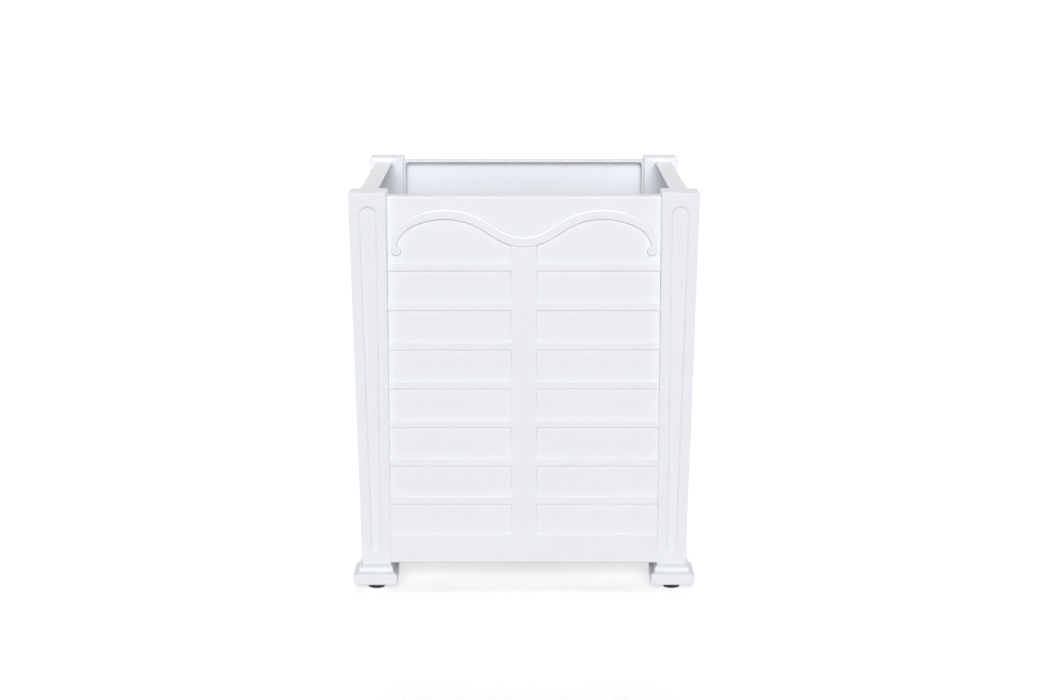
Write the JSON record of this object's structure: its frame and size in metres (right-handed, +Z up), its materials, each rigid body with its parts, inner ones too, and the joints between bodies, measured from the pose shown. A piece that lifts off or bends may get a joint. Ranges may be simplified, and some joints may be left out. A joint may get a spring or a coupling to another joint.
{
  "type": "versailles planter",
  "caption": "Square planter box with fluted tapered posts, relief panels with a serpentine scroll, a drained base shelf and screw-in levelling feet.",
  "frame": {"origin": "on the floor under the centre of the planter, with the levelling feet screwed fully in", "axes": "+Z up, -Y towards the front panel, +X towards the right panel"},
  "size_m": [0.612, 0.612, 0.722],
  "materials": {
    "white_moulding": "satin-gloss white",
    "shelf_moulding": "fine matt texture",
    "pad_black": "matt black",
    "stem_steel": "zinc-plated",
    "insert_brass": "plain",
    "screw_steel": "stainless"
  },
  "bodies": {
    "planter": {"post_front_left": "white_moulding", "post_front_right": "white_moulding", "post_rear_left": "white_moulding", "post_rear_right": "white_moulding", "plinth_front_left": "white_moulding", "plinth_front_right": "white_moulding", "plinth_rear_left": "white_moulding", "plinth_rear_right": "white_moulding", "panel_front": "white_moulding", "panel_right": "white_moulding", "panel_rear": "white_moulding", "panel_left": "white_moulding", "base_shelf": "shelf_moulding", "foot_insert_front_left": "insert_brass", "foot_insert_front_right": "insert_brass", "foot_insert_rear_left": "insert_brass", "foot_insert_rear_right": "insert_brass", "screw_front_left_lower": "screw_steel", "screw_front_left_upper": "screw_steel", "screw_front_right_lower": "screw_steel", "screw_front_right_upper": "screw_steel", "screw_right_left_lower": "screw_steel", "screw_right_left_upper": "screw_steel", "screw_right_right_lower": "screw_steel", "screw_right_right_upper": "screw_steel", "screw_rear_left_lower": "screw_steel", "screw_rear_left_upper": "screw_steel", "screw_rear_right_lower": "screw_steel", "screw_rear_right_upper": "screw_steel", "screw_left_left_lower": "screw_steel", "screw_left_left_upper": "screw_steel", "screw_left_right_lower": "screw_steel", "screw_left_right_upper": "screw_steel"},
    "pad_front_left": {"foot_pad_front_left": "pad_black"},
    "pad_front_right": {"foot_pad_front_right": "pad_black"},
    "pad_rear_left": {"foot_pad_rear_left": "pad_black"},
    "pad_rear_right": {"foot_pad_rear_right": "pad_black"},
    "stem_front_left": {"foot_stem_front_left": "stem_steel"},
    "stem_front_right": {"foot_stem_front_right": "stem_steel"},
    "stem_rear_left": {"foot_stem_rear_left": "stem_steel"},
    "stem_rear_right": {"foot_stem_rear_right": "stem_steel"}
  },
  "joints": [
    {"name": "foot_travel_front_left", "type": "slide", "parent": "planter", "child": "pad_front_left", "axis": [0, 0, -1], "range_m": [0, 0.015]},
    {"name": "foot_turn_front_left", "type": "hinge", "parent": "pad_front_left", "child": "stem_front_left", "pos_m": [-0.267, -0.267, 0.01], "axis": [0, 0, -1], "range_deg": [0, 3600]},
    {"name": "foot_travel_front_right", "type": "slide", "parent": "planter", "child": "pad_front_right", "axis": [0, 0, -1], "range_m": [0, 0.015]},
    {"name": "foot_turn_front_right", "type": "hinge", "parent": "pad_front_right", "child": "stem_front_right", "pos_m": [0.267, -0.267, 0.01], "axis": [0, 0, -1], "range_deg": [0, 3600]},
    {"name": "foot_travel_rear_left", "type": "slide", "parent": "planter", "child": "pad_rear_left", "axis": [0, 0, -1], "range_m": [0, 0.015]},
    {"name": "foot_turn_rear_left", "type": "hinge", "parent": "pad_rear_left", "child": "stem_rear_left", "pos_m": [-0.267, 0.267, 0.01], "axis": [0, 0, -1], "range_deg": [0, 3600]},
    {"name": "foot_travel_rear_right", "type": "slide", "parent": "planter", "child": "pad_rear_right", "axis": [0, 0, -1], "range_m": [0, 0.015]},
    {"name": "foot_turn_rear_right", "type": "hinge", "parent": "pad_rear_right", "child": "stem_rear_right", "pos_m": [0.267, 0.267, 0.01], "axis": [0, 0, -1], "range_deg": [0, 3600]}
  ],
  "couplings": [
    {"joint": "foot_turn_front_left", "follows": "foot_travel_front_left", "rad_per_m": 4188.7},
    {"joint": "foot_turn_front_right", "follows": "foot_travel_front_right", "rad_per_m": 4188.7},
    {"joint": "foot_turn_rear_left", "follows": "foot_travel_rear_left", "rad_per_m": 4188.7},
    {"joint": "foot_turn_rear_right", "follows": "foot_travel_rear_right", "rad_per_m": 4188.7}
  ]
}
